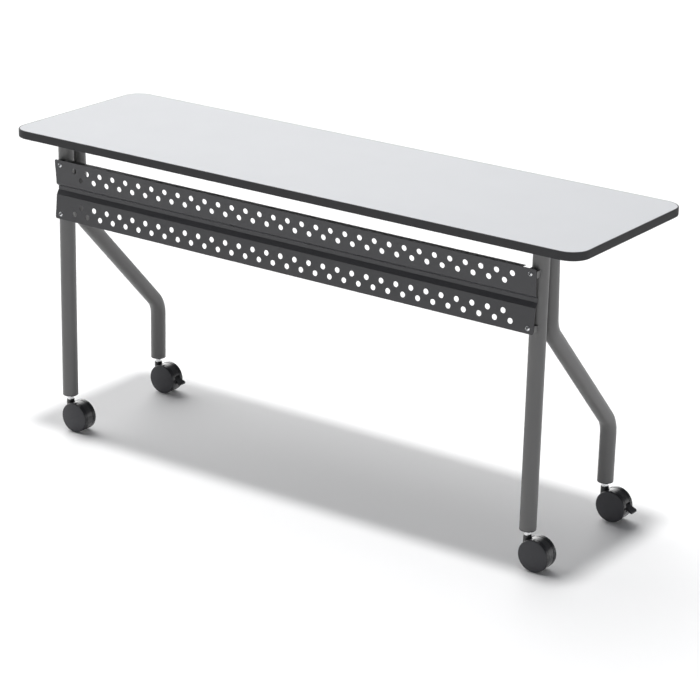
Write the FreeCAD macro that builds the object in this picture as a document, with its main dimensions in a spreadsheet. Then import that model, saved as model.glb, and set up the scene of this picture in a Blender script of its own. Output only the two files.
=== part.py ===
import FreeCAD, Part
import math
import os
import Sketcher

# A narrow training table on casters. Millimetres, +Z up, origin on the floor under the middle of
# the top, +X along the length and -Y towards the side that carries the modesty panel.
SIZES = {
    # Top: particle board core, laminate, backer and a T-shaped edge band
    "top_length": 1524,
    "top_width": 457.2,
    "table_height": 737,
    "top_thickness": 19,
    "top_corner": 45,
    "laminate_thickness": 1,
    "backer_thickness": 0.8,
    "band_face": 3,
    "band_edge": 1.5,
    "barb_depth": 9,
    "barb_thickness": 2,
    "glue_gap": 0.05,
    # Mounting plates and the wood screws that hold them under the top
    "plate_thickness": 4,
    "plate_width": 80,
    "plate_lead": 30,
    "plate_rear_inset": 98.6,
    "plate_corner": 12,
    "plate_screw_inset": 13,
    "wood_screw_diameter": 5,
    "wood_screw_length": 16,
    "wood_head_diameter": 10,
    "wood_head_height": 3,
    "screw_hole_gap": 0.4,
    "screw_fit": 0.05,
    # Leg tubes
    "leg_inset": 119,
    "tube_diameter": 37,
    "tube_wall": 1.8,
    "tube_gap": 1,
    "front_inset": 58.6,
    "rear_inset": 66.1,
    "knee_setback": 48,
    "upper_knee_height": 523,
    "lower_knee_height": 228,
    "bend_radius": 65,
    # Modesty panel
    "panel_overhang": 7.5,
    "panel_sheet": 1.2,
    "panel_stand": 8.9,
    "panel_clearance": 0.5,
    "cable_gap": 41,
    "return_depth": 15,
    "return_trim": 26,
    "upper_flange": 59.4,
    "upper_lean": 4.8,
    "groove_upper": 6.4,
    "groove_flat": 8.7,
    "groove_lower": 10.3,
    "lower_flange": 57.2,
    "lower_lean": 4.9,
    "bend_round": 1.4,
    "panel_corner": 4,
    "hole_diameter": 12.7,
    "hole_margin": 57.3,
    "outer_columns": 32,
    "top_row_drop": 19.6,
    "bottom_row_rise": 18.65,
    "row_spacing": 18.75,
    # Tabs on the straight tubes, and the panel's screws
    "tab_width": 24,
    "tab_inset": 3,
    "tab_height": 15,
    "weld_gap": 0.05,
    "panel_screw_inset": 14.5,
    "panel_screw_drop": 12.5,
    "panel_screw_rise": 11.5,
    "panel_screw_diameter": 5,
    "panel_screw_length": 12,
    "panel_head_diameter": 10.5,
    "panel_head_height": 3,
    # Caster stems, and the sockets in the tube ends
    "caster_height": 85.8,
    "socket_flange": 2.5,
    "socket_round": 1.5,
    "socket_length": 40,
    "stem_diameter": 11,
    "stem_grip": 34,
    "shoulder_diameter": 14,
    "flange_diameter": 16,
    "flange_thickness": 2,
    "flange_cone": 4,
    "pivot_diameter": 9,
    "swivel_gap": 0.3,
    "ring_diameter": 13,
    "ring_thickness": 1.2,
    "ring_groove": 0.8,
    "stem_tip": 2,
    # Hoods and wheels
    "wheel_diameter": 73,
    "caster_trail": 26,
    "hood_width": 18.8,
    "hood_drop": 0.5,
    "fender_wall": 4,
    "fender_trail_angle": -40,
    "fender_lead_angle": 170,
    "hood_web": 8,
    "hood_round": 1,
    "neck_diameter": 18.8,
    "neck_top": 74,
    "column_bottom": 40,
    "axle_diameter": 8,
    "running_gap": 0.05,
    "wheel_side_gap": 0.4,
    "tread_width": 10.2,
    "dome_height": 4.5,
    "rim_round": 3,
    "rim_wall": 11.9,
    "cavity_depth": 8.5,
    "hub_diameter": 16,
    "axle_end_gap": 0.3,
    # Brake pedals on the rear casters
    "pedal_pivot_reach": 24,
    "pedal_pivot_rise": 5.5,
    "pin_diameter": 4,
    "lug_wall": 3.5,
    "pedal_arm_width": 17.6,
    "pedal_slot_gap": 0.4,
    "pedal_slot_reach": 8,
    "window_foot_angle": -12,
    "window_head_angle": 20,
    "window_gap": 0.5,
    "pedal_arm_radius": 5,
    "shoe_radius": 2.8,
    "shoe_rise": 3.5,
    "shoe_setback": 6.3,
    "shoe_width": 28,
    "pedal_reach": 28,
    "pedal_knee": 7,
    "pedal_flare_start": 14,
    "pedal_tip_width": 27,
    "pedal_tip_round": 3,
    "pedal_root_top": 3.2,
    "pedal_tip_drop": 10,
    "pedal_thickness": 4,
    "pedal_tip_thickness": 2.6,
}

# Lengths that several pieces share, as expressions on the driving dimensions
UNDERSIDE = "(Dim.table_height - Dim.top_thickness)"
PLATE_FACE = "(%s - Dim.plate_thickness)" % UNDERSIDE
TUBE_FOOT = "(Dim.caster_height + Dim.socket_flange)"
TUBE_RADIUS = "(Dim.tube_diameter / 2)"
TUBE_BORE = "(Dim.tube_diameter / 2 - Dim.tube_wall)"
LEG_X = "(Dim.top_length / 2 - Dim.leg_inset)"
FRONT_SET = "(Dim.top_width / 2 - Dim.front_inset)"
REAR_SET = "(Dim.top_width / 2 - Dim.rear_inset)"
PLATE_DEPTH = "(%s + Dim.plate_lead + Dim.top_width / 2 - Dim.plate_rear_inset)" % FRONT_SET
REAR_START = "(-%s + Dim.tube_diameter + Dim.tube_gap)" % FRONT_SET
FLANGE_Y = "(-%s - Dim.tube_diameter / 2 - Dim.panel_stand)" % FRONT_SET
GROOVE_Y = "(-%s - Dim.tube_diameter / 2 - Dim.panel_clearance - Dim.panel_sheet)" % FRONT_SET
PANEL_LENGTH = "(2 * %s + 2 * Dim.panel_overhang)" % LEG_X
HOLE_PITCH = "((%s - 2 * Dim.hole_margin) / (Dim.outer_columns - 1))" % PANEL_LENGTH
PANEL_TOP = "(%s - Dim.cable_gap)" % UNDERSIDE
LINE_1 = "(%s - Dim.upper_flange)" % PANEL_TOP
LINE_2 = "(%s - Dim.groove_upper)" % LINE_1
LINE_3 = "(%s - Dim.groove_flat)" % LINE_2
LINE_4 = "(%s - Dim.groove_lower)" % LINE_3
PANEL_FOOT = "(%s - Dim.lower_flange)" % LINE_4
PANEL_SCREW_X = "(%s / 2 - Dim.panel_screw_inset)" % PANEL_LENGTH
WHEEL_RADIUS = "(Dim.wheel_diameter / 2)"
HOOD_RADIUS = "(Dim.wheel_diameter / 2 - Dim.hood_drop)"
FENDER_BORE = "(%s - Dim.fender_wall)" % HOOD_RADIUS
WHEEL_FACE = "(Dim.hood_width / 2 + Dim.wheel_side_gap)"
PIVOT_X = "(Dim.caster_trail + Dim.pedal_pivot_reach)"
PIVOT_Z = "(Dim.wheel_diameter / 2 + Dim.pedal_pivot_rise)"

doc = FreeCAD.newDocument("training_table")
sheet = doc.addObject("Spreadsheet::Sheet", "Dim")
for row, (name, value) in enumerate(SIZES.items(), start=1):
    sheet.set("A%d" % row, name)
    sheet.set("B%d" % row, str(value))
    sheet.setAlias("B%d" % row, name)
doc.recompute()

pieces = []


def number(expression):
    """Value of an expression on the driving dimensions."""
    value = sheet.evalExpression(expression.replace("Dim.", ""))
    return float(getattr(value, "Value", value))


def keep(piece, label):
    """Name a finished sub-part; the label is also its file's name."""
    piece.Label = label
    pieces.append(piece)
    return piece


def place(piece, x="0", y="0", z="0", turn_axis=None, turn="0 deg"):
    """Bind a sub-part's placement to expressions, with one positive turn about an axis if needed."""
    if turn_axis:
        piece.Placement.Rotation = FreeCAD.Rotation(FreeCAD.Vector(*turn_axis), number(turn))
        piece.setExpression(".Placement.Rotation.Angle", turn)
    piece.setExpression(".Placement.Base.x", x)
    piece.setExpression(".Placement.Base.y", y)
    piece.setExpression(".Placement.Base.z", z)
    return piece


def new_body(name):
    return doc.addObject("PartDesign::Body", name)


def new_sketch(body, plane_role, lift="0"):
    """Sketch on one of the body's own origin planes, moved along the plane's normal."""
    sketch = body.newObject("Sketcher::SketchObject", body.Name + "_sketch")
    planes = [part for part in body.Origin.OriginFeatures if part.Role == plane_role]
    sketch.AttachmentSupport = [(planes[0], "")]
    sketch.MapMode = "FlatFace"
    sketch.setExpression(".AttachmentOffset.Base.z", lift)
    return sketch


def bind(sketch, constraint, expression):
    """Add a dimension to a sketch and tie it to the sheet."""
    index = sketch.addConstraint(constraint)
    sketch.setExpression("Constraints[%d]" % index, expression)


def pin_point(sketch, geometry, end, x, y):
    """Hold a point of a sketch at a place given by two expressions."""
    bind(sketch, Sketcher.Constraint("DistanceX", geometry, end, number(x)), x)
    bind(sketch, Sketcher.Constraint("DistanceY", geometry, end, number(y)), y)


def circle(sketch, x, y, radius):
    centre = FreeCAD.Vector(number(x), number(y), 0)
    normal = FreeCAD.Vector(0, 0, 1)
    index = sketch.addGeometry(Part.Circle(centre, normal, number(radius)), False)
    pin_point(sketch, index, 3, x, y)
    bind(sketch, Sketcher.Constraint("Radius", index, number(radius)), radius)


def arc_between(start, end, radius, turns_left):
    """Arc of less than a half circle between two points, and its ends in travel order."""
    chord = end - start
    side = FreeCAD.Vector(-chord.y, chord.x, 0).normalize()
    if not turns_left:
        side = side * -1
    rise = math.sqrt(max(radius ** 2 - (chord.Length / 2) ** 2, 0))
    centre = start + chord * 0.5 + side * rise
    first, last = (start, end) if turns_left else (end, start)
    angles = [math.atan2(point.y - centre.y, point.x - centre.x) for point in (first, last)]
    whole = Part.Circle(centre, FreeCAD.Vector(0, 0, 1), radius)
    return Part.ArcOfCircle(whole, angles[0], angles[1]), ((1, 2) if turns_left else (2, 1))


def outline(sketch, steps):
    """Closed outline. Each step is the expressions of the point it runs to, and an arc adds its
    radius and the side, left or right, that it turns to."""
    points = [FreeCAD.Vector(number(step[0]), number(step[1]), 0) for step in steps]
    runs = []
    for index, step in enumerate(steps):
        start, end = points[index - 1], points[index]
        if len(step) == 2:
            runs.append((sketch.addGeometry(Part.LineSegment(start, end), False), (1, 2)))
            continue
        arc, ends = arc_between(start, end, number(step[2]), step[3] == "left")
        runs.append((sketch.addGeometry(arc, False), ends))
    for index, step in enumerate(steps):
        geometry, ends = runs[index]
        following, following_ends = runs[(index + 1) % len(runs)]
        joint = Sketcher.Constraint("Coincident", geometry, ends[1], following, following_ends[0])
        sketch.addConstraint(joint)
        pin_point(sketch, geometry, ends[1], step[0], step[1])
        if len(step) > 2:
            bind(sketch, Sketcher.Constraint("Radius", geometry, number(step[2])), step[2])


def rounded_rectangle(sketch, length, width, radius):
    """Rounded rectangle about the sketch's origin."""
    half_x, half_y = "(%s) / 2" % length, "(%s) / 2" % width
    flat_x, flat_y = "%s - (%s)" % (half_x, radius), "%s - (%s)" % (half_y, radius)
    outline(sketch, [
        (flat_x, "-(%s)" % half_y),
        (half_x, "-(%s)" % flat_y, radius, "left"),
        (half_x, flat_y),
        (flat_x, half_y, radius, "left"),
        ("-(%s)" % flat_x, half_y),
        ("-(%s)" % half_x, flat_y, radius, "left"),
        ("-(%s)" % half_x, "-(%s)" % flat_y),
        ("-(%s)" % flat_x, "-(%s)" % half_y, radius, "left"),
    ])


def pad(body, sketch, length, symmetric=False):
    feature = body.newObject("PartDesign::Pad", body.Name + "_pad")
    feature.Profile = sketch
    feature.SideType = "Symmetric" if symmetric else "One side"
    feature.setExpression("Length", length)
    return feature


def pocket(body, sketch, length=None, symmetric=False, along_normal=False):
    """Cut a sketch out of a body, through all of it where no length is given."""
    before = body.Shape.Volume
    feature = body.newObject("PartDesign::Pocket", body.Name + "_pocket")
    feature.Profile = sketch
    feature.SideType = "Symmetric" if symmetric else "One side"
    feature.Reversed = along_normal
    if length is None:
        feature.Type = "ThroughAll"
    else:
        feature.setExpression("Length", length)
    doc.recompute()
    if body.Shape.Volume >= before:
        raise RuntimeError("nothing was cut from " + body.Name)
    return feature


def revolve(body, sketch):
    """Turn a half section about the sketch's vertical axis."""
    feature = body.newObject("PartDesign::Revolution", body.Name + "_turn")
    feature.Profile = sketch
    feature.ReferenceAxis = (sketch, ["V_Axis"])
    feature.Angle = 360
    return feature


def fillet(body, radius, wanted):
    """Round the body's edges that a test picks."""
    doc.recompute()
    base = body.Tip
    edges = base.Shape.Edges
    names = ["Edge%d" % (index + 1) for index, edge in enumerate(edges) if wanted(edge)]
    feature = body.newObject("PartDesign::Fillet", body.Name + "_fillet")
    feature.Base = (base, names)
    feature.setExpression("Radius", radius)
    return feature


def lies_at_height(edge, height):
    low, high = edge.BoundBox.ZMin, edge.BoundBox.ZMax
    return abs(low - height) < 0.01 and abs(high - height) < 0.01


# Top

def inset(expression, distance):
    return "%s - 2 * (%s)" % (expression, distance)


def inset_rectangle(sketch, distance):
    """Outline of the top, set in from its edge."""
    length = inset("Dim.top_length", distance)
    width = inset("Dim.top_width", distance)
    rounded_rectangle(sketch, length, width, "Dim.top_corner - (%s)" % distance)


SHEET_INSET = "Dim.band_face + Dim.glue_gap"
SLOT_INSET = "Dim.band_face + Dim.barb_depth + Dim.glue_gap"
BARB_LIFT = "(%s + Dim.top_thickness / 2)" % UNDERSIDE


def plate_screw_spots():
    """Expressions of the places of the screws that hold the two mounting plates."""
    across = "(Dim.plate_width / 2 - Dim.plate_screw_inset)"
    first = "(-%s - Dim.plate_lead + Dim.plate_screw_inset)" % FRONT_SET
    last = "(%s + %s - 2 * Dim.plate_screw_inset)" % (first, PLATE_DEPTH)
    spots = []
    for side in ("-", ""):
        for step in ("-", ""):
            x = "%s%s + %s%s" % (side, LEG_X, step, across)
            spots += [(x, first), (x, last)]
    return spots


def drill_for_plate_screws(body, lift, depth):
    sketch = new_sketch(body, "XY_Plane", lift)
    for x, y in plate_screw_spots():
        circle(sketch, x, y, "Dim.wood_screw_diameter / 2 + Dim.screw_fit")
    pocket(body, sketch, depth, along_normal=True)


def make_sheet(label, lift, thickness):
    """Flat sheet inside the edge band."""
    body = new_body(label)
    sketch = new_sketch(body, "XY_Plane", lift)
    inset_rectangle(sketch, SHEET_INSET)
    pad(body, sketch, thickness)
    doc.recompute()
    return keep(body, label)


def make_top():
    core_lift = "%s + Dim.backer_thickness" % UNDERSIDE
    core_depth = "Dim.top_thickness - Dim.backer_thickness - Dim.laminate_thickness"
    core = make_sheet("top_core", core_lift, core_depth)
    slot = new_sketch(core, "XY_Plane", BARB_LIFT)
    inset_rectangle(slot, "0")
    inset_rectangle(slot, SLOT_INSET)
    pocket(core, slot, "Dim.barb_thickness + 2 * Dim.glue_gap", symmetric=True)
    bite = "Dim.wood_screw_length - Dim.plate_thickness - Dim.backer_thickness + Dim.screw_fit"
    drill_for_plate_screws(core, core_lift, bite)

    make_sheet("top_laminate", "Dim.table_height - Dim.laminate_thickness", "Dim.laminate_thickness")
    backer = make_sheet("top_backer", UNDERSIDE, "Dim.backer_thickness")
    drill_for_plate_screws(backer, UNDERSIDE, "Dim.backer_thickness")

    band = new_body("edge_band")
    face = new_sketch(band, "XY_Plane", UNDERSIDE)
    inset_rectangle(face, "0")
    inset_rectangle(face, "Dim.band_face")
    pad(band, face, "Dim.top_thickness")
    barb = new_sketch(band, "XY_Plane", BARB_LIFT)
    inset_rectangle(barb, "Dim.band_face / 2")
    inset_rectangle(barb, "Dim.band_face + Dim.barb_depth")
    pad(band, barb, "Dim.barb_thickness", symmetric=True)
    levels = [number(UNDERSIDE), number("Dim.table_height")]
    reach = number("Dim.top_length - Dim.band_face") / 2
    middle = number("Dim.top_width - Dim.band_face") / 2

    def is_outer_rim(edge):
        box = edge.BoundBox
        outside = max(abs(box.XMin), abs(box.XMax)) > reach or max(abs(box.YMin), abs(box.YMax)) > middle
        return outside and any(lies_at_height(edge, level) for level in levels)

    fillet(band, "Dim.band_edge", is_outer_rim)
    keep(band, "edge_band")


# Leg frames

def make_plate(label, x):
    body = new_body(label)
    sketch = new_sketch(body, "XY_Plane")
    rounded_rectangle(sketch, "Dim.plate_width", PLATE_DEPTH, "Dim.plate_corner")
    half_x = "(Dim.plate_width / 2 - Dim.plate_screw_inset)"
    half_y = "(%s / 2 - Dim.plate_screw_inset)" % PLATE_DEPTH
    for side in ("-", ""):
        for end in ("-", ""):
            circle(sketch, side + half_x, end + half_y,
                   "Dim.wood_screw_diameter / 2 + Dim.screw_hole_gap")
    pad(body, sketch, "Dim.plate_thickness")
    place(body, x, "-%s - Dim.plate_lead + %s / 2" % (FRONT_SET, PLATE_DEPTH), PLATE_FACE)
    keep(body, label)


def ring_section(body, y):
    """Section of a tube, at its lower end."""
    sketch = new_sketch(body, "XY_Plane", TUBE_FOOT)
    circle(sketch, "0", y, TUBE_RADIUS)
    circle(sketch, "0", y, TUBE_BORE)
    return sketch


def make_front_tube(label, x):
    body = new_body(label)
    pad(body, ring_section(body, "-" + FRONT_SET), "%s - %s" % (PLATE_FACE, TUBE_FOOT))
    place(body, x)
    keep(body, label)


def rear_path(body):
    """Centre line of a cranked tube: upright run, diagonal run and leaning run, joined by bends.
    It runs one tube radius past the plate, to be cut level there."""
    sketch = new_sketch(body, "YZ_Plane")
    start = (REAR_SET, TUBE_FOOT)
    lower = (REAR_SET, "Dim.lower_knee_height")
    knee = "(%s - Dim.knee_setback)" % FRONT_SET
    upper = ("-" + knee, "Dim.upper_knee_height")
    slope = "(%s + %s) / (%s - Dim.upper_knee_height)" % (REAR_START, knee, PLATE_FACE)
    finish = ("%s + %s * %s" % (REAR_START, slope, TUBE_RADIUS), "%s + %s" % (PLATE_FACE, TUBE_RADIUS))
    corners = [FreeCAD.Vector(number(y), number(z), 0) for y, z in (start, lower, upper, finish)]
    radius = number("Dim.bend_radius")
    ends = [corners[0]]
    turns = []
    for before, corner, after in zip(corners, corners[1:], corners[2:]):
        back = (before - corner).normalize()
        ahead = (after - corner).normalize()
        tangent = radius / math.tan(back.getAngle(ahead) / 2)
        ends += [corner + back * tangent, corner + ahead * tangent]
        turns.append(back.cross(ahead).z < 0)
    ends.append(corners[-1])
    runs = [sketch.addGeometry(Part.LineSegment(a, b), False) for a, b in zip(ends[::2], ends[1::2])]
    for index, turns_left in enumerate(turns):
        first, last = ends[2 * index + 1], ends[2 * index + 2]
        arc, order = arc_between(first, last, radius, turns_left)
        bend = sketch.addGeometry(arc, False)
        sketch.addConstraint(Sketcher.Constraint("Tangent", runs[index], 2, bend, order[0]))
        sketch.addConstraint(Sketcher.Constraint("Tangent", bend, order[1], runs[index + 1], 1))
        bind(sketch, Sketcher.Constraint("Radius", bend, radius), "Dim.bend_radius")
    for index, spot in enumerate((lower, upper)):
        point = sketch.addGeometry(Part.Point(corners[index + 1]), True)
        pin_point(sketch, point, 1, *spot)
        sketch.addConstraint(Sketcher.Constraint("PointOnObject", point, 1, runs[index]))
        sketch.addConstraint(Sketcher.Constraint("PointOnObject", point, 1, runs[index + 1]))
    pin_point(sketch, runs[0], 1, *start)
    pin_point(sketch, runs[2], 2, *finish)
    return sketch


def make_rear_tube(label, x):
    body = new_body(label)
    path = rear_path(body)
    section = ring_section(body, REAR_SET)
    doc.recompute()
    pipe = body.newObject("PartDesign::AdditivePipe", label + "_pipe")
    pipe.Profile = section
    pipe.Spine = path
    doc.recompute()
    cut = new_sketch(body, "XY_Plane", PLATE_FACE)
    circle(cut, "0", REAR_START, "2 * Dim.tube_diameter")
    pocket(body, cut, along_normal=True)
    place(body, x)
    keep(body, label)


def make_socket(label, x, y):
    """Plug in a tube's lower end, with a rounded flange under it and a bore for the stem."""
    body = new_body(label)
    sketch = new_sketch(body, "XZ_Plane")
    bore = "(Dim.stem_diameter / 2 + Dim.running_gap)"
    plug = "(%s - Dim.weld_gap)" % TUBE_BORE
    outline(sketch, [
        (bore, "0"),
        ("%s - Dim.socket_round" % TUBE_RADIUS, "0"),
        (TUBE_RADIUS, "Dim.socket_round", "Dim.socket_round", "left"),
        (TUBE_RADIUS, "Dim.socket_flange"),
        (plug, "Dim.socket_flange"),
        (plug, "Dim.socket_flange + Dim.socket_length"),
        (bore, "Dim.socket_flange + Dim.socket_length"),
    ])
    revolve(body, sketch)
    place(body, x, y, "Dim.caster_height")
    keep(body, label)


# Modesty panel

def mitred(points, thickness):
    """Points of a line set off to one side of an open run of points by a thickness."""
    offset = []
    for index, point in enumerate(points):
        runs = []
        for first, last in ((index - 1, index), (index, index + 1)):
            if first >= 0 and last < len(points):
                run = (points[last] - points[first]).normalize()
                runs.append(FreeCAD.Vector(-run.y, run.x, 0))
        bisector = (runs[0] + runs[-1]).normalize()
        offset.append(point + bisector * (thickness / bisector.dot(runs[0])))
    return offset


def sheet_section(sketch, spots):
    """Section of a folded sheet: its front line, and a back line one sheet thickness behind."""
    front = [FreeCAD.Vector(number(y), number(z), 0) for y, z in spots]
    back = mitred(front, number("Dim.panel_sheet"))
    fronts = [sketch.addGeometry(Part.LineSegment(a, b), False) for a, b in zip(front, front[1:])]
    backs = [sketch.addGeometry(Part.LineSegment(a, b), False) for a, b in zip(back, back[1:])]
    top = sketch.addGeometry(Part.LineSegment(front[0], back[0]), False)
    foot = sketch.addGeometry(Part.LineSegment(front[-1], back[-1]), False)
    for line in (fronts, backs):
        for first, last in zip(line, line[1:]):
            sketch.addConstraint(Sketcher.Constraint("Coincident", first, 2, last, 1))
        sketch.addConstraint(Sketcher.Constraint("Coincident", foot, 1 if line is fronts else 2, line[-1], 2))
        sketch.addConstraint(Sketcher.Constraint("Coincident", top, 1 if line is fronts else 2, line[0], 1))
    sketch.addConstraint(Sketcher.Constraint("Perpendicular", top, fronts[0]))
    sketch.addConstraint(Sketcher.Constraint("Perpendicular", foot, fronts[-1]))
    for ahead, behind in zip(fronts, backs):
        sketch.addConstraint(Sketcher.Constraint("Parallel", ahead, behind))
        gap = Sketcher.Constraint("Distance", behind, 1, ahead, number("Dim.panel_sheet"))
        bind(sketch, gap, "Dim.panel_sheet")
    pin_point(sketch, fronts[0], 1, *spots[0])
    for line, spot in zip(fronts, spots[1:]):
        pin_point(sketch, line, 2, *spot)


def hole_row_pattern(body, columns, heights):
    """Two rows of holes with one count: drill the first column, then repeat it along the panel."""
    sketch = new_sketch(body, "XZ_Plane")
    for height in heights:
        circle(sketch, "-(%s - 1) / 2 * %s" % (columns, HOLE_PITCH), height, "Dim.hole_diameter / 2")
    drilled = pocket(body, sketch, symmetric=True)
    pattern = body.newObject("PartDesign::LinearPattern", body.Name + "_holes")
    pattern.Originals = [drilled]
    pattern.Direction = (sketch, ["H_Axis"])
    pattern.setExpression("Length", "(%s - 1) * %s" % (columns, HOLE_PITCH))
    pattern.setExpression("Occurrences", columns)
    body.Tip = pattern
    doc.recompute()


def panel_screw_spot(upper):
    """Place of a panel screw on the front of a flange, and the tilt of that flange."""
    if upper:
        share = "(1 - Dim.panel_screw_drop / Dim.upper_flange)"
        y = "%s - Dim.upper_lean * %s" % (FLANGE_Y, share)
        return y, "%s - Dim.panel_screw_drop" % PANEL_TOP, "atan(Dim.upper_lean / Dim.upper_flange)"
    share = "(1 - Dim.panel_screw_rise / Dim.lower_flange)"
    y = "%s - Dim.lower_lean * %s" % (FLANGE_Y, share)
    return y, "%s + Dim.panel_screw_rise" % PANEL_FOOT, "atan(Dim.lower_lean / Dim.lower_flange)"


def make_panel():
    body = new_body("modesty_panel")
    section = new_sketch(body, "YZ_Plane")
    sheet_section(section, [
        ("%s - Dim.upper_lean" % FLANGE_Y, PANEL_TOP),
        (FLANGE_Y, LINE_1),
        (GROOVE_Y, LINE_2),
        (GROOVE_Y, LINE_3),
        (FLANGE_Y, LINE_4),
        ("%s - Dim.lower_lean" % FLANGE_Y, PANEL_FOOT),
    ])
    pad(body, section, PANEL_LENGTH, symmetric=True)
    half = number(PANEL_LENGTH) / 2
    folds = (number(LINE_4) - number("Dim.panel_sheet"), number(LINE_1) + number("Dim.panel_sheet"))

    def is_fold(edge):
        return edge.BoundBox.XLength > half and folds[0] <= edge.BoundBox.ZMin <= folds[1]

    def is_corner(edge):
        short = edge.Length < 2 * number("Dim.panel_sheet")
        height = edge.CenterOfMass.z
        return short and (height > folds[1] or height < folds[0]) and edge.BoundBox.XLength < 0.01

    fillet(body, "Dim.bend_round", is_fold)
    fillet(body, "Dim.panel_corner", is_corner)
    doc.recompute()
    turned_back = new_sketch(body, "YZ_Plane")
    near = "%s - Dim.upper_lean + Dim.panel_sheet / 2" % FLANGE_Y
    far = "%s - Dim.upper_lean + Dim.return_depth" % FLANGE_Y
    under = "%s - Dim.panel_sheet" % PANEL_TOP
    outline(turned_back, [
        (far, under),
        (far, PANEL_TOP),
        (near, PANEL_TOP),
        (near, under),
    ])
    pad(body, turned_back, "2 * (%s - Dim.return_trim)" % LEG_X, symmetric=True)
    doc.recompute()
    top_row = "%s - Dim.top_row_drop" % PANEL_TOP
    foot_row = "%s + Dim.bottom_row_rise" % PANEL_FOOT
    hole_row_pattern(body, "Dim.outer_columns", (top_row, foot_row))
    inner_rows = (top_row + " - Dim.row_spacing", foot_row + " + Dim.row_spacing")
    hole_row_pattern(body, "(Dim.outer_columns - 1)", inner_rows)
    screw_holes = new_sketch(body, "XZ_Plane")
    for side in ("-", ""):
        for upper in (True, False):
            height = panel_screw_spot(upper)[1]
            circle(screw_holes, side + PANEL_SCREW_X, height,
                   "Dim.panel_screw_diameter / 2 + Dim.screw_hole_gap")
    pocket(body, screw_holes, symmetric=True)
    keep(body, "modesty_panel")


def make_tab(label, side, upper):
    """Short block between a straight tube and the panel's back, saddled to the tube and tapped."""
    y, z, tilt = panel_screw_spot(upper)
    frame = new_body(label)
    blank = new_sketch(frame, "XZ_Plane", "-Dim.panel_sheet")
    half_x, half_z = "Dim.tab_width / 2", "Dim.tab_height / 2"
    outline(blank, [
        (half_x, "-(%s)" % half_z),
        (half_x, half_z),
        ("-(%s)" % half_x, half_z),
        ("-(%s)" % half_x, "-(%s)" % half_z),
    ])
    tab_x = "(%s - Dim.tab_inset)" % LEG_X
    screw_x = "%s(%s - %s)" % (side, PANEL_SCREW_X, tab_x)
    circle(blank, screw_x, "0", "Dim.panel_screw_diameter / 2 + Dim.screw_fit")
    block = pad(frame, blank, "Dim.panel_stand + Dim.upper_lean + %s / 2" % TUBE_RADIUS)
    block.Reversed = True
    place(frame, side + tab_x, y, z, (1 if upper else -1, 0, 0), tilt)
    tube = doc.addObject("Part::Cylinder", label + "_seat")
    tube.setExpression("Radius", "%s + Dim.weld_gap" % TUBE_RADIUS)
    tube.setExpression("Height", PANEL_TOP)
    place(tube, side + LEG_X, "-" + FRONT_SET)
    cut = doc.addObject("Part::Cut", label + "_cut")
    cut.Base = frame
    cut.Tool = tube
    frame.Label = label + "_block"
    keep(cut, label)


def make_screw(name, diameter, length, head_diameter, head_height):
    """Pan head screw standing on its head's seat, its shank along +Z."""
    body = new_body(name)
    sketch = new_sketch(body, "XZ_Plane")
    shank, head = "%s / 2" % diameter, "%s / 2" % head_diameter
    crown = "((%s)^2 + (%s)^2) / (2 * %s)" % (head, head_height, head_height)
    outline(sketch, [
        ("0", "-%s" % head_height),
        (head, "0", crown, "left"),
        (shank, "0"),
        (shank, length),
        ("0", length),
    ])
    revolve(body, sketch)
    return body


def make_screw_groups():
    wood = ("Dim.wood_screw_diameter", "Dim.wood_screw_length", "Dim.wood_head_diameter",
            "Dim.wood_head_height")
    plate_screws = []
    for index, (x, y) in enumerate(plate_screw_spots()):
        plate_screws.append(place(make_screw("wood_screw_%d" % index, *wood), x, y, PLATE_FACE))
    machine = ("Dim.panel_screw_diameter", "Dim.panel_screw_length", "Dim.panel_head_diameter",
               "Dim.panel_head_height")
    panel_screws = []
    for side in ("-", ""):
        for upper in (True, False):
            y, z, tilt = panel_screw_spot(upper)
            screw = make_screw("machine_screw_%d" % len(panel_screws), *machine)
            turn = "90 deg %s %s" % ("-" if upper else "+", tilt)
            panel_screws.append(place(screw, side + PANEL_SCREW_X, y, z, (-1, 0, 0), turn))
    for label, screws in (("plate_screws", plate_screws), ("panel_screws", panel_screws)):
        group = doc.addObject("Part::Compound", label)
        group.Links = screws
        keep(group, label)


# Casters

def make_stem(label, x, y):
    """Stem with a grip, a conical flange that carries the load, and a pivot with a ring groove."""
    body = new_body(label)
    sketch = new_sketch(body, "XZ_Plane")
    seat = "(Dim.neck_top + Dim.swivel_gap)"
    groove_top = "(Dim.column_bottom - Dim.swivel_gap)"
    groove_foot = "(%s - Dim.ring_thickness)" % groove_top
    pivot, grip = "Dim.pivot_diameter / 2", "Dim.stem_diameter / 2"
    neck = "(Dim.pivot_diameter / 2 - Dim.ring_groove)"
    shoulder, flange = "Dim.shoulder_diameter / 2", "Dim.flange_diameter / 2"
    outline(sketch, [
        ("0", "%s - Dim.stem_tip" % groove_foot),
        (pivot, "%s - Dim.stem_tip" % groove_foot),
        (pivot, groove_foot),
        (neck, groove_foot),
        (neck, groove_top),
        (pivot, groove_top),
        (pivot, seat),
        (flange, seat),
        (flange, "%s + Dim.flange_thickness" % seat),
        (shoulder, "%s + Dim.flange_thickness + Dim.flange_cone" % seat),
        (shoulder, "Dim.caster_height"),
        (grip, "Dim.caster_height"),
        (grip, "Dim.caster_height + Dim.stem_grip"),
        ("0", "Dim.caster_height + Dim.stem_grip"),
    ])
    revolve(body, sketch)
    place(body, x, y)
    keep(body, label)


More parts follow.
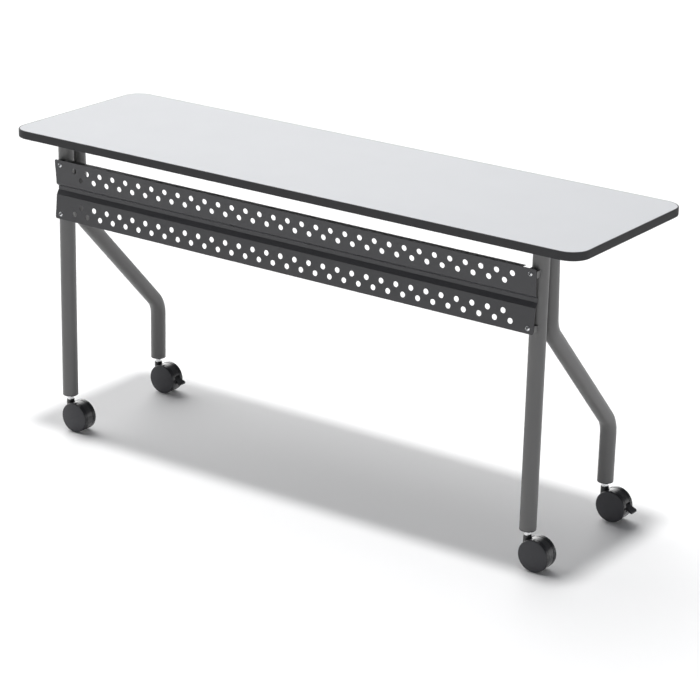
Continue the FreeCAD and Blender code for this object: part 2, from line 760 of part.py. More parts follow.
def make_ring(label, x, y):
    """Retaining ring that sits in the stem's groove, under the hood."""
    body = new_body(label)
    sketch = new_sketch(body, "XY_Plane")
    circle(sketch, "0", "0", "Dim.ring_diameter / 2")
    circle(sketch, "0", "0", "Dim.pivot_diameter / 2 - Dim.ring_groove + Dim.running_gap")
    pad(body, sketch, "Dim.ring_thickness - 2 * Dim.running_gap")
    lift = "Dim.column_bottom - Dim.swivel_gap - Dim.ring_thickness + Dim.running_gap"
    place(body, x, y, lift)
    keep(body, label)


def around_axle(radius, angle):
    """Place at a radius and an angle about the axle, as seen from the panel side."""
    return ("Dim.caster_trail + %s * cos(%s)" % (radius, angle),
            "%s + %s * sin(%s)" % (WHEEL_RADIUS, radius, angle))


def make_hood(label, x, y, braked):
    """Fender over the gap between the wheels, with its web, axle boss and the neck for the stem. A
    braked one has a window in its fender for the pedal, and a lug for the pedal's pin."""
    body = new_body(label)
    trail, lead = "Dim.fender_trail_angle", "Dim.fender_lead_angle"
    crown = "(%s + %s) / 2" % (trail, lead)
    fender = new_sketch(body, "XZ_Plane")
    outline(fender, [
        around_axle(HOOD_RADIUS, trail),
        around_axle(HOOD_RADIUS, crown) + (HOOD_RADIUS, "left"),
        around_axle(HOOD_RADIUS, lead) + (HOOD_RADIUS, "left"),
        around_axle(FENDER_BORE, lead),
        around_axle(FENDER_BORE, crown) + (FENDER_BORE, "right"),
        around_axle(FENDER_BORE, trail) + (FENDER_BORE, "right"),
    ])
    pad(body, fender, "Dim.hood_width", symmetric=True)

    def is_outer_arc(edge):
        centre = FreeCAD.Vector(number("Dim.caster_trail"), 0, number(WHEEL_RADIUS))
        curve = edge.Curve
        return hasattr(curve, "Radius") and abs(curve.Radius - number(HOOD_RADIUS)) < 0.01 and (
            abs(curve.Center.x - centre.x) < 0.01)

    fillet(body, "Dim.hood_round", is_outer_arc)
    web_radius = "(%s + Dim.fender_wall / 2)" % FENDER_BORE
    web = new_sketch(body, "XZ_Plane")
    outline(web, [
        around_axle("0", "0"),
        around_axle(web_radius, trail),
        around_axle(web_radius, crown) + (web_radius, "left"),
        around_axle(web_radius, lead) + (web_radius, "left"),
    ])
    pad(body, web, "Dim.hood_web", symmetric=True)
    boss = new_sketch(body, "XZ_Plane")
    circle(boss, "Dim.caster_trail", WHEEL_RADIUS, "Dim.hub_diameter / 2")
    pad(body, boss, "Dim.hood_width", symmetric=True)
    neck = new_sketch(body, "XY_Plane", "Dim.column_bottom")
    circle(neck, "0", "0", "Dim.neck_diameter / 2")
    pad(body, neck, "Dim.neck_top - Dim.column_bottom")
    if braked:
        doc.recompute()
        foot, head = "Dim.window_foot_angle", "Dim.window_head_angle"
        inner = "(Dim.pedal_pivot_reach + Dim.pin_diameter / 2 + Dim.lug_wall + Dim.window_gap)"
        outer = "(%s + Dim.fender_wall)" % HOOD_RADIUS
        window = new_sketch(body, "XZ_Plane")
        outline(window, [
            around_axle(outer, foot),
            around_axle(outer, head) + (outer, "left"),
            around_axle(inner, head),
            around_axle(inner, foot) + (inner, "right"),
        ])
        pocket(body, window, symmetric=True)
        lug = new_sketch(body, "XZ_Plane")
        circle(lug, PIVOT_X, PIVOT_Z, "Dim.pin_diameter / 2 + Dim.lug_wall")
        pad(body, lug, "Dim.hood_web", symmetric=True)
    doc.recompute()
    bores = new_sketch(body, "XZ_Plane")
    circle(bores, "Dim.caster_trail", WHEEL_RADIUS, "Dim.axle_diameter / 2 + Dim.running_gap")
    if braked:
        circle(bores, PIVOT_X, PIVOT_Z, "Dim.pin_diameter / 2 + Dim.running_gap")
    pocket(body, bores, symmetric=True)
    stem_bore = new_sketch(body, "XY_Plane", "Dim.neck_top")
    circle(stem_bore, "0", "0", "Dim.pivot_diameter / 2 + Dim.running_gap")
    pocket(body, stem_bore)
    place(body, x, y)
    keep(body, label)


def make_pin(label, x, y, z, diameter, length):
    """Plain pin along Y, centred on its place."""
    body = new_body(label)
    sketch = new_sketch(body, "XZ_Plane")
    circle(sketch, "0", "0", "%s / 2" % diameter)
    pad(body, sketch, length, symmetric=True)
    place(body, x, y, z)
    keep(body, label)


def make_wheel(label, x, y, side):
    """Moulded wheel with a domed outer face, hollow on its inner side round the hub."""
    body = new_body(label)
    sketch = new_sketch(body, "XY_Plane")
    bore = "(Dim.axle_diameter / 2 + Dim.running_gap)"
    bore_end = "(Dim.tread_width + Dim.axle_end_gap)"
    width = "(Dim.tread_width + Dim.dome_height)"
    dome = "(%s^2 + Dim.dome_height^2) / (2 * Dim.dome_height)" % WHEEL_RADIUS
    hub, rim = "Dim.hub_diameter / 2", "%s - Dim.rim_wall" % WHEEL_RADIUS
    outline(sketch, [
        (bore, bore_end),
        (bore, "0"),
        (hub, "0"),
        (hub, "Dim.cavity_depth"),
        (rim, "Dim.cavity_depth"),
        (rim, "0"),
        (WHEEL_RADIUS, "0"),
        (WHEEL_RADIUS, "Dim.tread_width"),
        ("0", width, dome, "left"),
        ("0", bore_end),
    ])
    revolve(body, sketch)

    def is_rim(edge):
        level = abs(edge.BoundBox.YMax - number("Dim.tread_width")) < 0.01
        return level and edge.BoundBox.XMax > number(WHEEL_RADIUS) - 0.01 and edge.BoundBox.YLength < 0.01

    fillet(body, "Dim.rim_round", is_rim)
    face = "%s %s %s" % (y, "+" if side == "aft" else "-", WHEEL_FACE)
    place(body, x, face, WHEEL_RADIUS, (0, 0, 1), "0 deg" if side == "aft" else "180 deg")
    keep(body, label)


def make_pedal(label, x, y):
    """Brake pedal: a fork over the hood's lug, a shoe inside each wheel's rim and a plate that
    slopes down from its knee and flares to the tip."""
    body = new_body(label)
    root_top, knee, tip = "Dim.pedal_root_top", "Dim.pedal_knee", "Dim.pedal_reach"
    plate = new_sketch(body, "XZ_Plane")
    outline(plate, [
        ("0", "-Dim.pedal_arm_radius + %s / 2" % root_top),
        (knee, "%s - 2 * Dim.pedal_thickness" % root_top),
        (tip, "-Dim.pedal_tip_drop - Dim.pedal_tip_thickness"),
        (tip, "-Dim.pedal_tip_drop"),
        (knee, root_top),
        ("0", root_top),
    ])
    pad(body, plate, "Dim.pedal_tip_width", symmetric=True)
    doc.recompute()
    for side in ("-", ""):
        trim = new_sketch(body, "XY_Plane", "-2 * Dim.pedal_tip_drop")
        near, far = "%sDim.pedal_arm_width / 2" % side, "%sDim.pedal_tip_width / 2" % side
        steps = [
            ("-Dim.pedal_arm_radius", near),
            ("Dim.pedal_flare_start", near),
            ("Dim.pedal_reach", far),
            ("Dim.pedal_reach", "%sDim.pedal_tip_width" % side),
            ("-Dim.pedal_arm_radius", "%sDim.pedal_tip_width" % side),
        ]
        outline(trim, steps)
        pocket(body, trim, along_normal=True)

    def is_tip_corner(edge):
        return edge.BoundBox.XMin > number("Dim.pedal_reach") - 0.01 and edge.BoundBox.YLength < 0.01

    fillet(body, "Dim.pedal_tip_round", is_tip_corner)
    doc.recompute()
    arm = new_sketch(body, "XZ_Plane")
    circle(arm, "0", "0", "Dim.pedal_arm_radius")
    pad(body, arm, "Dim.pedal_arm_width", symmetric=True)
    shoe = new_sketch(body, "XZ_Plane")
    circle(shoe, "-Dim.shoe_setback", "Dim.shoe_rise", "Dim.shoe_radius")
    pad(body, shoe, "Dim.shoe_width", symmetric=True)
    link = new_sketch(body, "XZ_Plane")
    arm_edge, shoe_edge = "0.8 * Dim.pedal_arm_radius", "0.8 * Dim.shoe_radius"
    outline(link, [
        ("0", arm_edge),
        ("-Dim.shoe_setback", "Dim.shoe_rise + " + shoe_edge),
        ("-Dim.shoe_setback", "Dim.shoe_rise - " + shoe_edge),
        ("0", "-" + arm_edge),
    ])
    pad(body, link, "Dim.pedal_arm_width", symmetric=True)
    doc.recompute()
    slot = new_sketch(body, "XZ_Plane")
    lug_sweep = "(Dim.pin_diameter / 2 + Dim.lug_wall + Dim.pedal_slot_gap)"
    outline(slot, [
        ("Dim.pedal_slot_reach", "-%s" % lug_sweep),
        ("Dim.pedal_slot_reach", "2 * Dim.shoe_rise"),
        ("-3 * Dim.pedal_arm_radius", "2 * Dim.shoe_rise"),
        ("-3 * Dim.pedal_arm_radius", "-%s" % lug_sweep),
    ])
    pocket(body, slot, "Dim.hood_web + 2 * Dim.pedal_slot_gap", symmetric=True)
    bore = new_sketch(body, "XZ_Plane")
    circle(bore, "0", "0", "Dim.pin_diameter / 2 + Dim.running_gap")
    pocket(body, bore, symmetric=True)
    place(body, "%s + %s" % (x, PIVOT_X), y, PIVOT_Z)
    keep(body, label)


def make_caster(name, x, y, braked):
    make_socket(name + "_socket", x, y)
    make_stem(name + "_stem", x, y)
    make_ring(name + "_stem_ring", x, y)
    make_hood(name + "_hood", x, y, braked)
    axle_x = "%s + Dim.caster_trail" % x
    axle_length = "2 * (%s + Dim.tread_width)" % WHEEL_FACE
    make_pin(name + "_axle", axle_x, y, WHEEL_RADIUS, "Dim.axle_diameter", axle_length)
    for side in ("fore", "aft"):
        make_wheel("%s_wheel_%s" % (name, side), axle_x, y, side)
    if braked:
        make_pedal(name + "_pedal", x, y)
        make_pin(name + "_pedal_pin", "%s + %s" % (x, PIVOT_X), y, PIVOT_Z, "Dim.pin_diameter",
                 "Dim.pedal_arm_width")


make_top()
make_panel()
make_screw_groups()
for side_name, side in (("left", "-"), ("right", "")):
    leg_x = side + LEG_X
    make_plate(side_name + "_mounting_plate", leg_x)
    make_front_tube(side_name + "_front_tube", leg_x)
    make_rear_tube(side_name + "_rear_tube", leg_x)
    make_tab(side_name + "_upper_tab", side, True)
    make_tab(side_name + "_lower_tab", side, False)
    make_caster(side_name + "_front", leg_x, "-" + FRONT_SET, False)
    make_caster(side_name + "_rear", leg_x, REAR_SET, True)
doc.recompute()

for item in doc.Objects:
    if "Invalid" in item.State or "Error" in item.State:
        raise RuntimeError("failed: %s %s" % (item.Name, item.State))
for piece in pieces:
    if piece.Shape.isNull() or not piece.Shape.isValid():
        raise RuntimeError("bad shape: " + piece.Label)

os.makedirs("parts", exist_ok=True)
for piece in pieces:
    piece.Shape.exportStep("parts/%s.step" % piece.Label)
print("%d sub-parts written" % len(pieces))
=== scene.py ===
import math

import bmesh
import bpy
from mathutils import Matrix, Quaternion, Vector


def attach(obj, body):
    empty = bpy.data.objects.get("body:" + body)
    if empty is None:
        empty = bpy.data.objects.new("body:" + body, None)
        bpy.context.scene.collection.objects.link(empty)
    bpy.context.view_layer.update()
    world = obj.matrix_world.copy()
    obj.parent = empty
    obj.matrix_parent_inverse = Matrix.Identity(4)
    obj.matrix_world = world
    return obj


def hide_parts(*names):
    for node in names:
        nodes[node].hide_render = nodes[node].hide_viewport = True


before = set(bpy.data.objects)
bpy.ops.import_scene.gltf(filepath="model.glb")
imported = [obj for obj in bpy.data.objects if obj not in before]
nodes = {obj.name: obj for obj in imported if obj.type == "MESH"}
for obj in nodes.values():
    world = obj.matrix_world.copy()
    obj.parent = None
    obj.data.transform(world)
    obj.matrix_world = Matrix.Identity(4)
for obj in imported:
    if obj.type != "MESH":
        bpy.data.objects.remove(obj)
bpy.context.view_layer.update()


# Particle board core. Wood chips pressed with resin into a board, its edge slotted for the edging's
# barb and its underside drilled for the plate screws. Sheets on both faces and the edging hide it.
class Socket:
    """A socket of a material. Arithmetic on it adds Math nodes, and node() adds any other node."""

    def __init__(self, tree, link=None):
        self.tree = tree
        self.link = link

    def node(self, kind, settings, sockets, output=0):
        made = self.tree.nodes.new("ShaderNode" + kind)
        for name, value in settings.items():
            setattr(made, name, value)
        for name, value in sockets.items():
            if isinstance(value, Socket):
                self.tree.links.new(value.link, made.inputs[name])
            else:
                made.inputs[name].default_value = value
        return Socket(self.tree, made.outputs[output])

    def maths(self, operation, first, second):
        return self.node("Math", {"operation": operation}, {0: first, 1: second})

    def __add__(self, other):
        return self.maths("ADD", self, other)

    def __radd__(self, other):
        return self.maths("ADD", other, self)

    def __sub__(self, other):
        return self.maths("SUBTRACT", self, other)

    def __rsub__(self, other):
        return self.maths("SUBTRACT", other, self)

    def __mul__(self, other):
        return self.maths("MULTIPLY", self, other)

    def __rmul__(self, other):
        return self.maths("MULTIPLY", other, self)


def start_finish(name, **constants):
    """New material with its constant values, its shader node, and the piece's own place in metres."""
    material = bpy.data.materials.new(name)
    material.use_nodes = True
    shader = material.node_tree.nodes["Principled BSDF"]
    for socket, value in constants.items():
        shader.inputs[socket.replace("_", " ")].default_value = value
    return material, shader, Socket(material.node_tree).node("TexCoord", {}, {}, "Object")


def feed(shader, **links):
    """Link sockets to the shader's inputs of the same names."""
    for name, socket in links.items():
        socket.tree.links.new(socket.link, shader.inputs[name.replace("_", " ")])


def noise(place, scale, detail=2.0):
    return place.node("TexNoise", {}, {"Vector": place, "Scale": scale, "Detail": detail})


def stretched(place, factors):
    """Place with each axis scaled, for marks that run along a piece."""
    return place.node("VectorMath", {"operation": "MULTIPLY"}, {0: place, 1: factors})


def tint(share, first, second):
    """Colour that goes from the first to the second with a share from 0 to 1."""
    return share.node("Mix", {"data_type": "RGBA"}, {0: share, 6: (*first, 1), 7: (*second, 1)}, 2)


def bump(height, depth, strength=1.0):
    return height.node("Bump", {}, {"Height": height, "Distance": depth, "Strength": strength})


def dress(material, *names):
    """Give CAD nodes a material."""
    for name in names:
        mesh = nodes[name].data
        mesh.materials.clear()
        mesh.materials.append(material)


CHIP_SCALE, CHIP_DARK, CHIP_LIGHT = 420, (0.36, 0.24, 0.13), (0.66, 0.5, 0.32)
chipboard, shader, place = start_finish("chipboard", Specular_IOR_Level=0.25)
chips = place.node("TexVoronoi", {}, {"Vector": stretched(place, (1, 1, 2.5)), "Scale": CHIP_SCALE}, "Color")
shade = chips.node("SeparateColor", {}, {"Color": chips})
feed(shader, Base_Color=tint(shade, CHIP_DARK, CHIP_LIGHT), Roughness=0.75 + 0.15 * shade,
     Normal=bump(shade, 0.0004))
dress(chipboard, "top_core")

# Laminate on the upper face. Thin decor paper under a melamine overlay, pressed on with a fine
# suede texture; light cool grey, with the faintest mottle.
LAMINATE_DARK, LAMINATE_LIGHT = (0.42, 0.429, 0.446), (0.442, 0.451, 0.468)
laminate, shader, place = start_finish("grey_laminate", Specular_IOR_Level=0.3)
suede = noise(place, 2600)
mottle = noise(place, 9)
feed(shader, Base_Color=tint(mottle, LAMINATE_DARK, LAMINATE_LIGHT), Roughness=0.44 + 0.08 * suede,
     Normal=bump(suede, 0.00005, 0.6))
dress(laminate, "top_laminate")

# Backer on the lower face. Black phenolic paper glued to the core so that the board stays flat;
# it is left matt, and the paper's fibres show faintly along the table.
BACKER_DARK, BACKER_LIGHT = (0.03, 0.029, 0.028), (0.062, 0.06, 0.058)
backer, shader, place = start_finish("phenolic_backer", Specular_IOR_Level=0.3)
fibres = noise(stretched(place, (60, 900, 900)), 1.0, 4.0)
clouds = noise(place, 14)
feed(shader, Base_Color=tint(fibres * 0.7 + clouds * 0.3, BACKER_DARK, BACKER_LIGHT),
     Roughness=0.62 + 0.2 * fibres, Normal=bump(fibres, 0.00008))
dress(backer, "top_backer")

# Edge band. Extruded vinyl T-moulding knocked into the core's slot, with soft corners; fine lines
# from the die run along it, and its ends meet in one butt joint on the sitter's side.
EDGING_DARK, EDGING_LIGHT = (0.042, 0.042, 0.0435), (0.061, 0.061, 0.063)
JOINT_X, JOINT_HALF_WIDTH = 0.31, 0.00022


def along(place, axis):
    """One axis of a place."""
    return place.node("SeparateXYZ", {}, {"Vector": place}, axis)


edging, shader, place = start_finish("black_edging", Specular_IOR_Level=0.06)
die_lines = noise(stretched(place, (8, 8, 2400)), 1.0)
grain = noise(place, 1500)
joint = place.node("Math", {"operation": "COMPARE"}, {0: along(place, "X"), 1: JOINT_X, 2: JOINT_HALF_WIDTH})
feed(shader, Base_Color=tint(die_lines * 0.6 + grain * 0.4, EDGING_DARK, EDGING_LIGHT),
     Roughness=0.5 + 0.12 * grain, Normal=bump(grain * 0.5 + die_lines * 0.5 - 3 * joint, 0.00006))
dress(edging, "edge_band")

# Leg frames. Steel tubes welded under steel plates, powder coated together in a satin charcoal;
# the powder melts to a fine orange peel, thinner and a little lighter here and there.
FRAME_DARK, FRAME_LIGHT = (0.111, 0.1105, 0.1095), (0.134, 0.1335, 0.1325)


def powder_coat(name, dark, light):
    material, shader, place = start_finish(name, Specular_IOR_Level=0.5)
    peel = noise(place, 520)
    specks = noise(place, 3400)
    drift = noise(place, 7)
    feed(shader, Base_Color=tint(drift * 0.6 + specks * 0.4, dark, light),
         Roughness=0.3 + 0.1 * specks + 0.06 * drift, Normal=bump(peel * 0.75 + specks * 0.25, 0.00012))
    return material


frame_coat = powder_coat("charcoal_powder_coat", FRAME_DARK, FRAME_LIGHT)
for side in ("left", "right"):
    for part in ("mounting_plate", "front_tube", "rear_tube", "upper_tab", "lower_tab"):
        dress(frame_coat, "%s_%s" % (side, part))

# Weld beads. Each tube is welded all round to its plate, and each tab along both its sides to the
# straight tube; the bead's ripples show through the powder coat.
LEG_X, TUBE_RADIUS, PLATE_FACE = 0.643, 0.0185, 0.714
FRONT_Y, REAR_TOP_Y = -0.170, -0.132
UPPER_TAB_Z, LOWER_TAB_Z = 0.6645, 0.5465
TUBE_BEAD_RADIUS, TUBE_BEAD_SINK, TUBE_BEAD_STEPS = 0.0022, 0.0006, 150
TAB_BEAD_RADIUS, TAB_BEAD_LENGTH, TAB_BEAD_STEPS = 0.0014, 0.0136, 30
TAB_INNER_REACH, TAB_OUTER_REACH = 0.015, 0.009
BEAD_SIDES = 10
RIPPLE_SHARE, RIPPLE_PACE, DRIFT_SHARE, DRIFT_PACE = 0.16, 1.9, 0.05, 0.37


def weld_bead(name, points, normals, radius, closed):
    """Bead along a run of points: a round cord, its radius swelling with the welder's ripple."""
    mesh = bmesh.new()
    turns = [2 * math.pi * step / BEAD_SIDES for step in range(BEAD_SIDES)]
    rings = []
    for index, (point, out) in enumerate(zip(points, normals)):
        ahead = points[(index + 1) % len(points)] if closed or index + 1 < len(points) else point
        behind = points[index - 1] if closed or index else point
        run = (ahead - behind).normalized()
        across = run.cross(out)
        ripple = RIPPLE_SHARE * math.sin(index * RIPPLE_PACE)
        size = radius * (1 + ripple + DRIFT_SHARE * math.sin(index * DRIFT_PACE))
        rings.append([mesh.verts.new(point + size * (math.cos(turn) * out + math.sin(turn) * across))
                      for turn in turns])
    for ring, following in zip(rings, rings[1:] + rings[:1] if closed else rings[1:]):
        for step in range(BEAD_SIDES):
            after = (step + 1) % BEAD_SIDES
            mesh.faces.new((ring[step], ring[after], following[after], following[step]))
    if not closed:
        mesh.faces.new(rings[0])
        mesh.faces.new(rings[-1][::-1])
    bmesh.ops.recalc_face_normals(mesh, faces=mesh.faces)
    data = bpy.data.meshes.new(name)
    mesh.to_mesh(data)
    mesh.free()
    for face in data.polygons:
        face.use_smooth = True
    data.materials.append(frame_coat)
    bead = bpy.data.objects.new(name, data)
    bpy.context.scene.collection.objects.link(bead)
    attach(bead, "table")


for side, sign in (("left", -1), ("right", 1)):
    for tube, tube_y in (("front", FRONT_Y), ("rear", REAR_TOP_Y)):
        turns = [2 * math.pi * step / TUBE_BEAD_STEPS for step in range(TUBE_BEAD_STEPS)]
        outward = [Vector((math.cos(turn), math.sin(turn), 0)) for turn in turns]
        centre = Vector((sign * LEG_X, tube_y, PLATE_FACE - TUBE_BEAD_SINK))
        ring = [centre + out * (TUBE_RADIUS + TUBE_BEAD_SINK) for out in outward]
        weld_bead("%s_%s_tube_weld" % (side, tube), ring, outward, TUBE_BEAD_RADIUS, True)
    for level, tab_z in (("upper", UPPER_TAB_Z), ("lower", LOWER_TAB_Z)):
        for edge, aside in (("inner", -sign * TAB_INNER_REACH), ("outer", sign * TAB_OUTER_REACH)):
            face_y = FRONT_Y - math.sqrt(TUBE_RADIUS ** 2 - aside ** 2)
            foot_z = tab_z - TAB_BEAD_LENGTH / 2
            run = [Vector((sign * LEG_X + aside, face_y, foot_z + TAB_BEAD_LENGTH * step / TAB_BEAD_STEPS))
                   for step in range(TAB_BEAD_STEPS + 1)]
            out = Vector((aside, face_y - FRONT_Y, 0)).normalized()
            name = "%s_%s_tab_weld_%s" % (side, level, edge)
            weld_bead(name, run, [out] * len(run), TAB_BEAD_RADIUS, False)

# Modesty panel. One steel sheet, punched with rows of holes, then folded to a groove along its
# middle and powder coated in a darker charcoal than the legs.
PANEL_DARK, PANEL_LIGHT = (0.0315, 0.0315, 0.0345), (0.0415, 0.0415, 0.045)
panel_coat = powder_coat("dark_powder_coat", PANEL_DARK, PANEL_LIGHT)
dress(panel_coat, "modesty_panel")

# Screws. Zinc-plated steel: machine screws hold the panel to the tabs, wood screws hold the plates
# under the top. Pan heads with a cross recess, barrel polished; the recess is painted dark as shade.
ZINC_DARK, ZINC_LIGHT = (0.6, 0.61, 0.62), (0.74, 0.75, 0.76)
# The recess colours are painted shade: far darker than the zinc, standing for the shade in the hollow.
RECESS_SHADE_DARK, RECESS_SHADE_LIGHT = (0.05, 0.05, 0.052), (0.12, 0.12, 0.122)
SLOT_SHARE, SLOT_REACH, SLOT_DEPTH, SLOT_TAPER = 0.19, 0.6, 0.7, 0.8
CROWN_RINGS, HEAD_STEPS = (0.72, 0.86, 1.0), 48
HEAD_HEIGHT, SHANK_RADIUS = 0.003, 0.0025
PANEL_HEAD_RADIUS, PANEL_SHANK = 0.00525, 0.012
PLATE_HEAD_RADIUS, PLATE_SHANK = 0.005, 0.016
PANEL_SCREW_X = 0.636
PANEL_SEATS = ((-0.20119, UPPER_TAB_Z, (0, -0.99675, -0.08055)),
               (-0.201315, LOWER_TAB_Z, (0, -0.99635, 0.08535)))
PLATE_SCREW_ACROSS, PLATE_SCREW_YS = 0.027, (-0.187, 0.117)
FIRST_TURN, TURN_STEP, SHARP_ANGLE = 0.35, 1.1, 0.6
zinc, shader, place = start_finish("zinc_plate", Metallic=1.0)
cloud = noise(place, 900)
scuffs = noise(stretched(place, (300, 300, 2500)), 1.0)
feed(shader, Base_Color=tint(cloud, ZINC_DARK, ZINC_LIGHT), Roughness=0.2 + 0.16 * scuffs)
# Second screw material: painted shade for the recess walls and floor, a dark zinc with a noise mottle.
recess_painted_shade, shader, place = start_finish("recess_painted_shade", Metallic=0.6)
recess_shade_mottle = noise(place, 2200)
feed(shader, Base_Color=tint(recess_shade_mottle, RECESS_SHADE_DARK, RECESS_SHADE_LIGHT), Roughness=0.5 + 0.3 * recess_shade_mottle)


def cross_screw(mesh, seat, out, head_radius, shank_length, turn):
    """Pan head screw whose crown has a cross recess, added to a mesh at its seat."""
    part = bmesh.new()
    crown_radius = (head_radius ** 2 + HEAD_HEIGHT ** 2) / (2 * HEAD_HEIGHT)
    crown_base = HEAD_HEIGHT - crown_radius
    half_slot, reach = head_radius * SLOT_SHARE, head_radius * SLOT_REACH
    circle = [2 * math.pi * step / HEAD_STEPS for step in range(HEAD_STEPS)]

    def crown(x, y):
        return crown_base + math.sqrt(crown_radius ** 2 - x * x - y * y)

    corners = [(reach, half_slot), (half_slot, half_slot), (half_slot, reach)]
    recess = []
    for quarter in range(4):
        cosine, sine = math.cos(quarter * math.pi / 2), math.sin(quarter * math.pi / 2)
        recess += [(x * cosine - y * sine, x * sine + y * cosine) for x, y in corners]
    lip = [part.verts.new((x, y, crown(x, y))) for x, y in recess]
    floor = [part.verts.new((x * SLOT_TAPER, y * SLOT_TAPER, crown(x, y) - HEAD_HEIGHT * SLOT_DEPTH))
             for x, y in recess]
    rims = []
    for share in CROWN_RINGS:
        radius = head_radius * share
        rims.append([part.verts.new((radius * math.cos(a), radius * math.sin(a),
                                     crown(radius * math.cos(a), radius * math.sin(a)))) for a in circle])
    for inner, outer in zip(rims, rims[1:]):
        for step in range(HEAD_STEPS):
            after = (step + 1) % HEAD_STEPS
            part.faces.new((inner[step], outer[step], outer[after], inner[after]))
    edges = []
    for loop in (lip, rims[0]):
        for first, last in zip(loop, loop[1:] + loop[:1]):
            edges.append(part.edges.get((first, last)) or part.edges.new((first, last)))
    bmesh.ops.triangle_fill(part, edges=edges, use_beauty=True)
    # The recess walls and floor take material 1, the painted shade.
    for index in range(len(recess)):
        after = (index + 1) % len(recess)
        part.faces.new((lip[index], lip[after], floor[after], floor[index])).material_index = 1
    part.faces.new(floor).material_index = 1
    below = [rims[-1]]
    for z in (0.0, -shank_length):
        below.append([part.verts.new((SHANK_RADIUS * math.cos(a), SHANK_RADIUS * math.sin(a), z))
                      for a in circle])
    for inner, outer in zip(below, below[1:]):
        for step in range(HEAD_STEPS):
            after = (step + 1) % HEAD_STEPS
            part.faces.new((inner[step], inner[after], outer[after], outer[step]))
    part.faces.new(below[-1])
    bmesh.ops.recalc_face_normals(part, faces=part.faces)
    stand = out.to_track_quat("Z", "Y").to_matrix().to_4x4()
    part.transform(Matrix.Translation(seat) @ stand @ Matrix.Rotation(turn, 4, "Z"))
    data = bpy.data.meshes.new("screw")
    part.to_mesh(data)
    part.free()
    mesh.from_mesh(data)
    bpy.data.meshes.remove(data)


def screw_group(name, node, spots, head_radius, shank_length):
    """All screws of one kind as one piece, in place of their CAD node."""
    mesh = bmesh.new()
    for index, (seat, out) in enumerate(spots):
        turn = FIRST_TURN + TURN_STEP * index
        cross_screw(mesh, Vector(seat), Vector(out), head_radius, shank_length, turn)
    data = bpy.data.meshes.new(name)
    mesh.to_mesh(data)
    mesh.free()
    data.materials.append(zinc)
    data.materials.append(recess_painted_shade)
    for face in data.polygons:
        face.use_smooth = True
    data.set_sharp_from_angle(angle=SHARP_ANGLE)
    screws = bpy.data.objects.new(name, data)
    bpy.context.scene.collection.objects.link(screws)
    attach(screws, "table")
    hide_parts(node)


panel_spots = []
plate_spots = []
for sign in (-1, 1):
    for seat_y, seat_z, out in PANEL_SEATS:
        panel_spots.append(((sign * PANEL_SCREW_X, seat_y, seat_z), out))
    for across in (-PLATE_SCREW_ACROSS, PLATE_SCREW_ACROSS):
        for screw_y in PLATE_SCREW_YS:
            plate_spots.append(((sign * LEG_X + across, screw_y, PLATE_FACE), (0, 0, -1)))
screw_group("panel_screw_set", "panel_screws", panel_spots, PANEL_HEAD_RADIUS, PANEL_SHANK)
screw_group("plate_screw_set", "plate_screws", plate_spots, PLATE_HEAD_RADIUS, PLATE_SHANK)

# Caster stems. Turned steel pins with a conical flange, zinc plated, pressed up into black nylon
# sockets in the tube ends; a spring ring under each hood keeps it on its stem.
CASTERS = ("left_front", "left_rear", "right_front", "right_rear")
STEM_DARK, STEM_LIGHT = (0.58, 0.585, 0.59), (0.78, 0.785, 0.79)
SOCKET_DARK, SOCKET_LIGHT = (0.02, 0.02, 0.021), (0.04, 0.04, 0.042)
stem_finish, shader, place = start_finish("turned_zinc", Metallic=1.0)
turning = noise(stretched(place, (20, 20, 4200)), 1.0)
feed(shader, Base_Color=tint(turning, STEM_DARK, STEM_LIGHT), Roughness=0.16 + 0.18 * turning,
     Normal=bump(turning, 0.00002))
socket_finish, shader, place = start_finish("socket_nylon", Specular_IOR_Level=0.4)
speckle = noise(place, 1300)
feed(shader, Base_Color=tint(speckle, SOCKET_DARK, SOCKET_LIGHT), Roughness=0.45 + 0.15 * speckle,
     Normal=bump(speckle, 0.00006))
for caster in CASTERS:
    dress(stem_finish, caster + "_stem", caster + "_stem_ring", caster + "_axle")
    dress(socket_finish, caster + "_socket")

# Hoods and brake pedals. Glass-filled nylon moulded in a polished tool, black and glossy, with
# light flow marks; each hood turns on its stem and carries the axle, and a pin holds the pedal.
HOOD_DARK, HOOD_LIGHT = (0.034, 0.034, 0.0355), (0.044, 0.044, 0.0455)
hood_finish, shader, place = start_finish("glossy_nylon", Specular_IOR_Level=0.5, Coat_Roughness=0.12)
flow = noise(stretched(place, (90, 90, 260)), 1.0, 3.0)
dust = noise(place, 1800)
feed(shader, Base_Color=tint(flow, HOOD_DARK, HOOD_LIGHT), Roughness=0.13 + 0.08 * flow + 0.05 * dust,
     Coat_Weight=0.12 - 0.08 * flow, Normal=bump(dust, 0.00003))
for caster in CASTERS:
    dress(hood_finish, caster + "_hood")
for caster in ("left_rear", "right_rear"):
    dress(hood_finish, caster + "_pedal")
    dress(stem_finish, caster + "_pedal_pin")

# Wheels. Moulded nylon with a domed satin face that the mould's fine spark texture covers; the
# floor wears the tread smoother, and it is darker than the face.
FACE_COLOUR, TREAD_COLOUR = (0.042, 0.042, 0.047), (0.014, 0.014, 0.015)
FACE_END, TREAD_START = 0.965, 0.99


def between(value, low, high):
    """Value taken from low to high onto 0 to 1, and held there."""
    return value.node("MapRange", {}, {"Value": value, "From Min": low, "From Max": high})


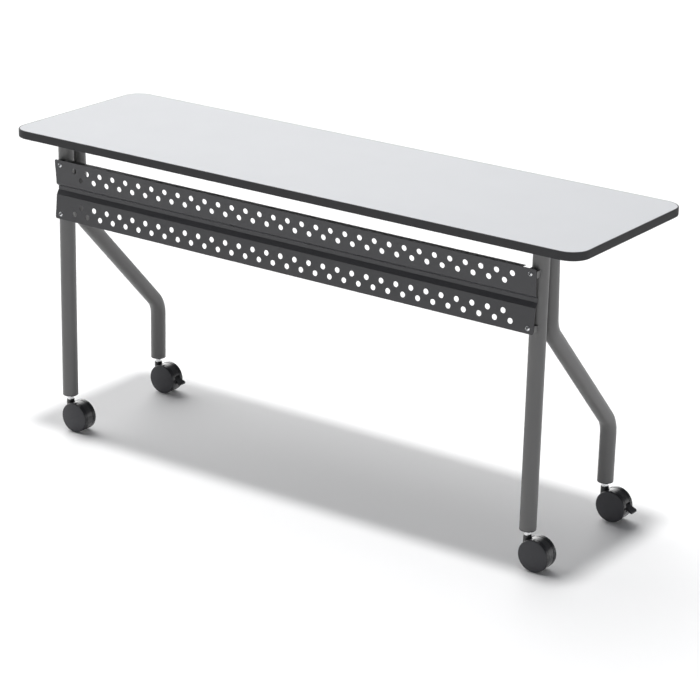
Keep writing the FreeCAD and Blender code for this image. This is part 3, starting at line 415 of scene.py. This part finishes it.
wheel_finish, shader, place = start_finish("wheel_nylon", Specular_IOR_Level=0.4)
unit = place.node("TexCoord", {}, {}, "Generated")
spread = unit.node("VectorMath", {"operation": "SUBTRACT"}, {0: unit, 1: (0.5, 0.5, 0.5)})
flat = stretched(spread, (2, 0, 2))
radius = flat.node("VectorMath", {"operation": "LENGTH"}, {0: flat}, "Value")
tread = between(radius, FACE_END, TREAD_START)
spark = noise(place, 2100)
scuff = noise(stretched(place, (120, 900, 120)), 1.0, 4.0)
feed(shader, Base_Color=tint(tread * (0.4 + 0.6 * scuff), FACE_COLOUR, TREAD_COLOUR),
     Roughness=0.46 + 0.1 * spark - 0.26 * tread, Normal=bump(spark * (1 - tread), 0.00005))
for caster in CASTERS:
    dress(wheel_finish, caster + "_wheel_fore", caster + "_wheel_aft")

# Studio. A plain pale floor that fills the view, and a surround that is bright at the back left,
# pale along the horizon and dim elsewhere, so that the groove and the hoods stay dark. One broad
# lamp almost straight overhead lays the table's soft shadow on the floor.
FLOOR_DARK, FLOOR_LIGHT, FLOOR_REACH = (0.93, 0.93, 0.93), (0.95, 0.95, 0.95), 30
DIM, BRIGHT, BRIGHTNESS = (0.03, 0.031, 0.034), (1.0, 1.0, 1.0), 3.2
LEFT_START, LEFT_FULL = -0.15, -0.5
BACK_START, BACK_FULL = -0.4, 0.1
HORIZON_TOP, HORIZON_FULL, HORIZON_SHARE = 0.28, 0.1, 0.315
LAMP_ENERGY, LAMP_SPREAD, LAMP_AIM = 1.75, math.radians(6), Vector((0.0, 0.03, -1.0))
floor_finish, shader, place = start_finish("studio_floor", Specular_IOR_Level=0.1, Roughness=0.8)
feed(shader, Base_Color=tint(noise(place, 0.8), FLOOR_DARK, FLOOR_LIGHT))
floor_mesh = bpy.data.meshes.new("studio_floor")
floor_corners = [(x * FLOOR_REACH, y * FLOOR_REACH, 0) for x, y in ((-1, -1), (1, -1), (1, 1), (-1, 1))]
floor_mesh.from_pydata(floor_corners, [], [(0, 1, 2, 3)])
floor_mesh.materials.append(floor_finish)
floor = bpy.data.objects.new("studio_floor", floor_mesh)
bpy.context.scene.collection.objects.link(floor)

world = bpy.data.worlds.new("studio")
world.use_nodes = True
sky = world.node_tree.nodes["Background"]
sky.inputs["Strength"].default_value = BRIGHTNESS
compass = Socket(world.node_tree).node("TexCoord", {}, {}, "Generated")
leftward = between(along(compass, "X"), LEFT_START, LEFT_FULL)
backward = between(along(compass, "Y"), BACK_START, BACK_FULL)
horizon = between(along(compass, "Z"), HORIZON_TOP, HORIZON_FULL) * HORIZON_SHARE
glow = compass.maths("MAXIMUM", leftward * backward, horizon)
feed(sky, Color=tint(glow, DIM, BRIGHT))
bpy.context.scene.world = world

lamp_data = bpy.data.lights.new("key_lamp", "SUN")
lamp_data.energy = LAMP_ENERGY
lamp_data.angle = LAMP_SPREAD
lamp = bpy.data.objects.new("key_lamp", lamp_data)
lamp.rotation_mode = "QUATERNION"
lamp.rotation_quaternion = LAMP_AIM.to_track_quat("-Z", "Y")
bpy.context.scene.collection.objects.link(lamp)

bpy.context.scene.view_settings.view_transform = "Standard"

# Camera. A long lens from the panel side, to the right and above, tipped by a degree or so; its
# place, lens and tip are those that lay the top's outline on the photograph's.
SENSOR_WIDTH, LENS, CLIP_END = 36, 126.79, 100
AIM, DISTANCE = Vector((0.05425, 0.0, 0.3092)), 5.6186
azimuth, elevation, roll = math.radians(34.7), math.radians(20.052), math.radians(1.347)
camera_data = bpy.data.cameras.new("camera")
camera_data.sensor_width = SENSOR_WIDTH
camera_data.lens = LENS
camera_data.clip_end = CLIP_END
camera = bpy.data.objects.new("camera", camera_data)
bpy.context.scene.collection.objects.link(camera)
back = Vector((math.sin(azimuth) * math.cos(elevation), -math.cos(azimuth) * math.cos(elevation),
               math.sin(elevation)))
camera.location = AIM + DISTANCE * back
camera.rotation_mode = "QUATERNION"
camera.rotation_quaternion = (-back).to_track_quat("-Z", "Y") @ Quaternion((0, 0, 1), roll)
bpy.context.scene.camera = camera
